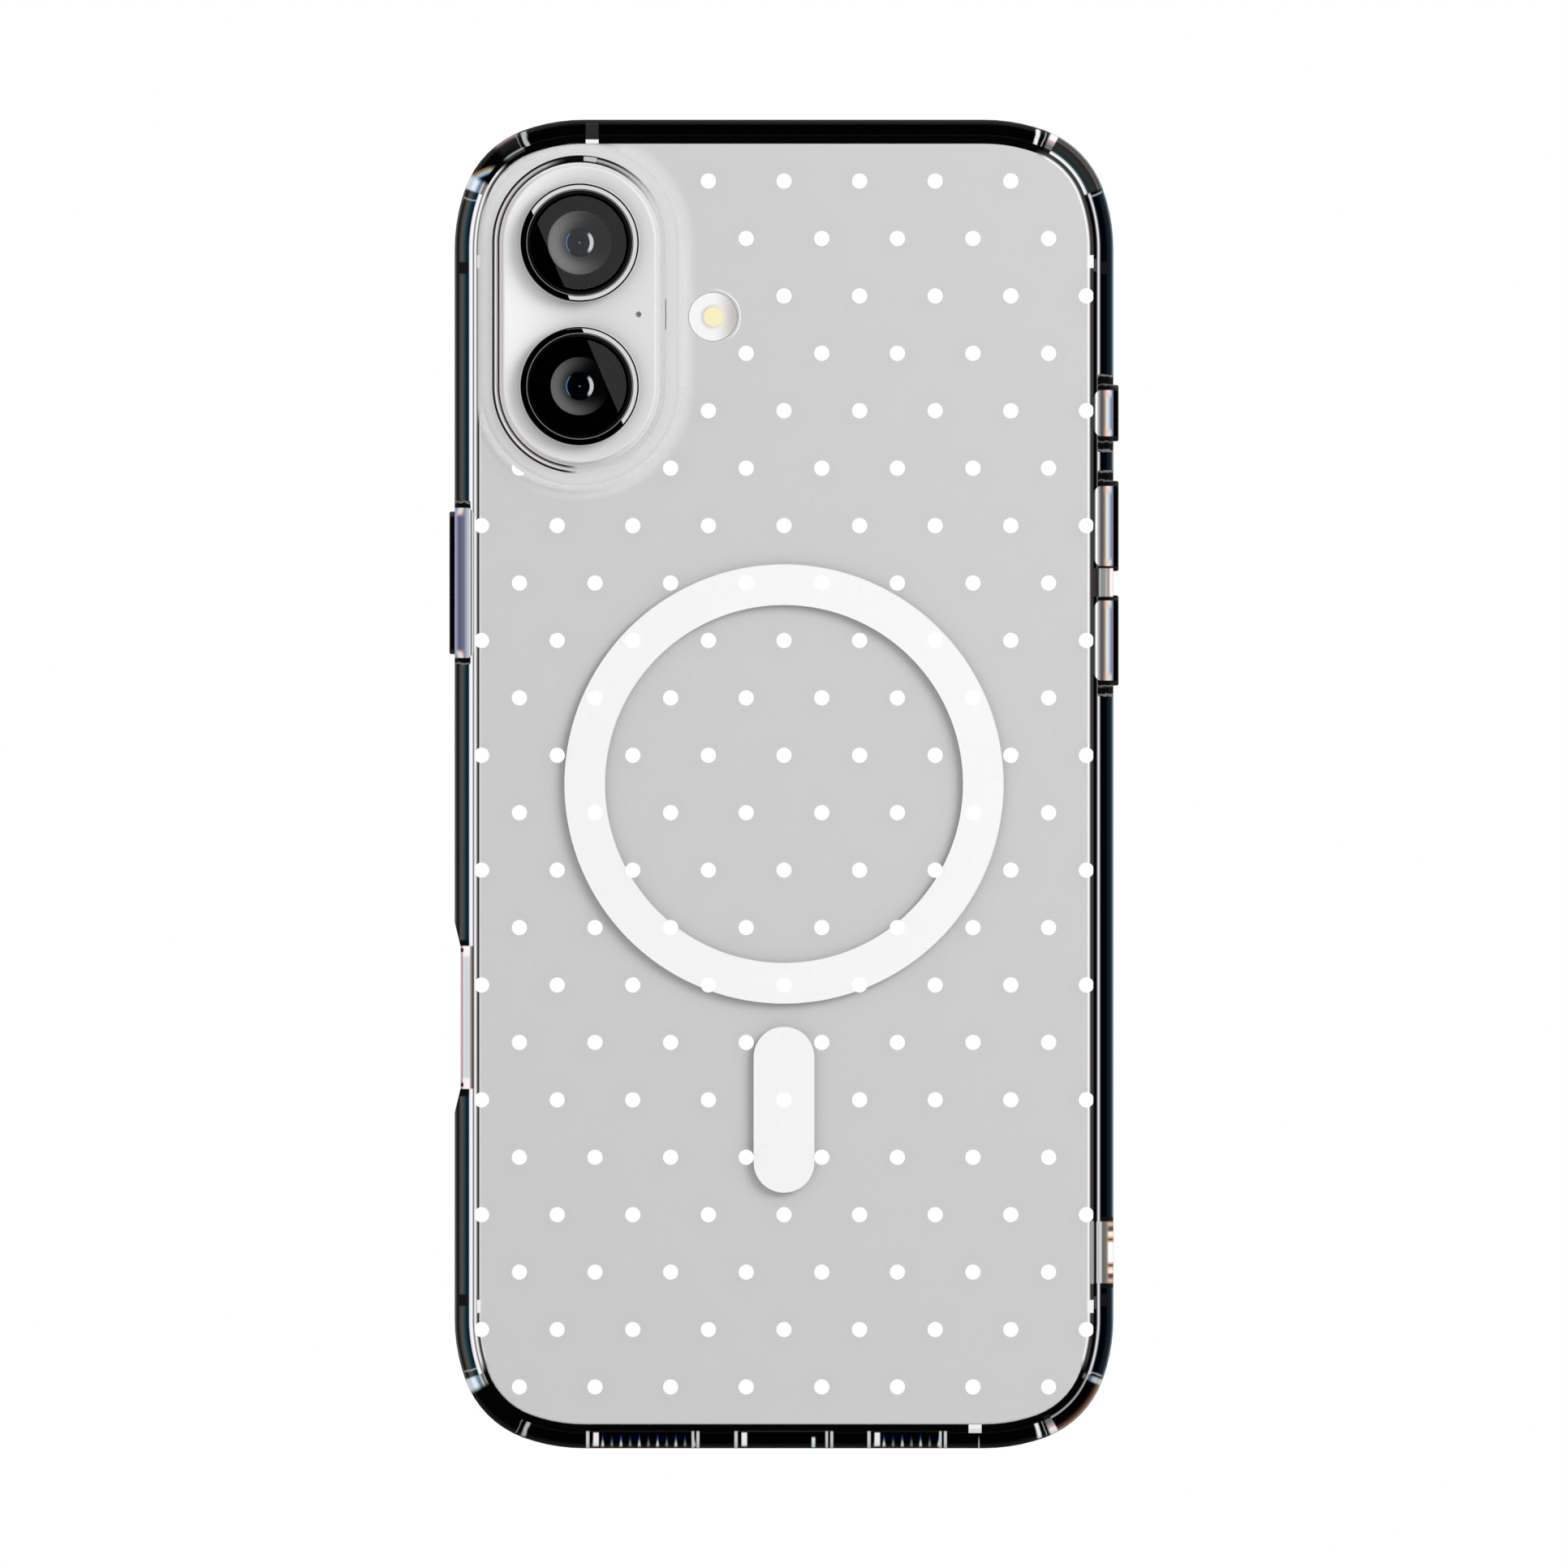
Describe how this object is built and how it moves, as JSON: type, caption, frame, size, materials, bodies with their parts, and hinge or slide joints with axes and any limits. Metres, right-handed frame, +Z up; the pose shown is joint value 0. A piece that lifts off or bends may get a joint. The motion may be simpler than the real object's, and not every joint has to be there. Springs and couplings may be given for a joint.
{
  "type": "smartphone in clear case",
  "caption": "Smartphone in a clear dotted case with a magnet ring, a raised camera guard and side buttons that press; the phone slides out through the case's soft front lip.",
  "frame": {"origin": "under the middle of the case's bottom edge, on the surface that it stands on, half way through its depth", "axes": "+Z up the phone's height, +X to the right as its back is looked at, +Y from the back to the screen"},
  "size_m": [0.083, 0.0134, 0.1648],
  "materials": {
    "clear_plate": "clear hard plate, polished, with a printed pattern of white dots",
    "bumper": "glossy flexible bumper, black",
    "clear_guard": "clear moulded ring, polished",
    "clear_pad": "clear flexible button pad",
    "button_cap": "glossy black",
    "white_film": "off-white satin film",
    "magnet": "plated magnet",
    "frame_metal": "silver satin anodised",
    "band_plastic": "pale antenna break",
    "back_glass": "pale grey glass, satin",
    "display_glass": "black glass, polished",
    "display_panel": "black panel",
    "flash_lens": "clear fluted window",
    "flash_led": "pale yellow phosphor on white",
    "mesh": "woven acoustic mesh",
    "circuit_board": "solder-masked board",
    "shield_metal": "stamped sheet",
    "battery_foil": "wrapped cell",
    "copper_coil": "enamelled copper winding",
    "module_plastic": "moulded module",
    "dense_metal": "sintered weight",
    "port_metal": "plain steel",
    "camera_body": "black anti-glare",
    "key_metal": "silver satin anodised",
    "lens_ring": "black with a pale inner step",
    "lens_window": "clear cover",
    "lens_glass": "coated lens"
  },
  "bodies": {
    "case": {"back_plate": "clear_plate", "bumper": "bumper", "front_lip": "bumper", "camera_guard": "clear_guard", "magnet_ring_cover": "white_film", "magnet_segments": "magnet", "alignment_cover": "white_film", "alignment_magnet": "magnet"},
    "side_cap": {"side_button_cap": "button_cap", "side_button_pad": "clear_pad"},
    "action_cap": {"action_button_cap": "button_cap", "action_button_pad": "clear_pad"},
    "volume_up_cap": {"volume_up_cap": "button_cap", "volume_up_pad": "clear_pad"},
    "volume_down_cap": {"volume_down_cap": "button_cap", "volume_down_pad": "clear_pad"},
    "phone": {"phone_frame": "frame_metal", "antenna_bands": "band_plastic", "back_glass": "back_glass", "display_glass": "display_glass", "display_panel": "display_panel", "flash_lens": "flash_lens", "flash_led": "flash_led", "rear_microphone": "mesh", "logic_board": "circuit_board", "board_shields": "shield_metal", "battery": "battery_foil", "charging_coil": "copper_coil", "phone_magnets": "magnet", "loudspeaker": "module_plastic", "haptic_housing": "shield_metal", "haptic_cover": "shield_metal", "charging_port": "port_metal", "speaker_mesh": "mesh", "bottom_microphone": "module_plastic", "earpiece": "module_plastic", "earpiece_mesh": "mesh", "front_camera": "camera_body", "bottom_screws": "port_metal", "button_switches": "module_plastic", "wide_lens_ring": "lens_ring", "wide_lens_window": "lens_window", "wide_camera_housing": "camera_body", "wide_sensor": "circuit_board", "ultrawide_lens_ring": "lens_ring", "ultrawide_lens_window": "lens_window", "ultrawide_camera_housing": "camera_body", "ultrawide_sensor": "circuit_board"},
    "side_key": {"side_button_key": "key_metal"},
    "action_key": {"action_button_key": "key_metal"},
    "volume_up_key": {"volume_up_key": "key_metal"},
    "volume_down_key": {"volume_down_key": "key_metal"},
    "camera_control": {"camera_control_key": "key_metal"},
    "wide_lens": {"wide_lens_barrel": "camera_body", "wide_lens_glass": "lens_glass"},
    "ultrawide_lens": {"ultrawide_lens_barrel": "camera_body", "ultrawide_lens_glass": "lens_glass"},
    "haptic_mass": {"haptic_mass": "dense_metal"},
    "speaker_cone": {"loudspeaker_cone": "module_plastic"}
  },
  "joints": [
    {"name": "phone_slide", "type": "slide", "parent": "case", "child": "phone", "axis": [0, 1, 0], "range_m": [0, 0.03], "deforming": ["front_lip"]},
    {"name": "side_cap_press", "type": "slide", "parent": "case", "child": "side_cap", "axis": [1, 0, 0], "range_m": [0, 0.00035], "stiffness_N_per_m": 1800},
    {"name": "action_cap_press", "type": "slide", "parent": "case", "child": "action_cap", "axis": [-1, 0, 0], "range_m": [0, 0.00035], "stiffness_N_per_m": 1800},
    {"name": "volume_up_cap_press", "type": "slide", "parent": "case", "child": "volume_up_cap", "axis": [-1, 0, 0], "range_m": [0, 0.00035], "stiffness_N_per_m": 1800},
    {"name": "volume_down_cap_press", "type": "slide", "parent": "case", "child": "volume_down_cap", "axis": [-1, 0, 0], "range_m": [0, 0.00035], "stiffness_N_per_m": 1800},
    {"name": "side_key_press", "type": "slide", "parent": "phone", "child": "side_key", "axis": [1, 0, 0], "range_m": [0, 0.00035], "stiffness_N_per_m": 1800},
    {"name": "action_key_press", "type": "slide", "parent": "phone", "child": "action_key", "axis": [-1, 0, 0], "range_m": [0, 0.00035], "stiffness_N_per_m": 1800},
    {"name": "volume_up_key_press", "type": "slide", "parent": "phone", "child": "volume_up_key", "axis": [-1, 0, 0], "range_m": [0, 0.00035], "stiffness_N_per_m": 1800},
    {"name": "volume_down_key_press", "type": "slide", "parent": "phone", "child": "volume_down_key", "axis": [-1, 0, 0], "range_m": [0, 0.00035], "stiffness_N_per_m": 1800},
    {"name": "camera_control_press", "type": "slide", "parent": "phone", "child": "camera_control", "axis": [1, 0, 0], "range_m": [0, 0.0002], "stiffness_N_per_m": 2500},
    {"name": "wide_focus", "type": "slide", "parent": "phone", "child": "wide_lens", "axis": [0, -1, 0], "range_m": [0, 0.00035], "stiffness_N_per_m": 400},
    {"name": "ultrawide_focus", "type": "slide", "parent": "phone", "child": "ultrawide_lens", "axis": [0, -1, 0], "range_m": [0, 0.00035], "stiffness_N_per_m": 400},
    {"name": "haptic_shake", "type": "slide", "parent": "phone", "child": "haptic_mass", "axis": [1, 0, 0], "range_m": [-0.0008, 0.0008], "stiffness_N_per_m": 1200},
    {"name": "speaker_cone_move", "type": "slide", "parent": "phone", "child": "speaker_cone", "axis": [0, -1, 0], "range_m": [-0.0003, 0.0003], "stiffness_N_per_m": 900}
  ],
  "couplings": [
    {"joint": "side_key_press", "follows": "side_cap_press", "ratio": 1},
    {"joint": "action_key_press", "follows": "action_cap_press", "ratio": 1},
    {"joint": "volume_up_key_press", "follows": "volume_up_cap_press", "ratio": 1},
    {"joint": "volume_down_key_press", "follows": "volume_down_cap_press", "ratio": 1}
  ]
}
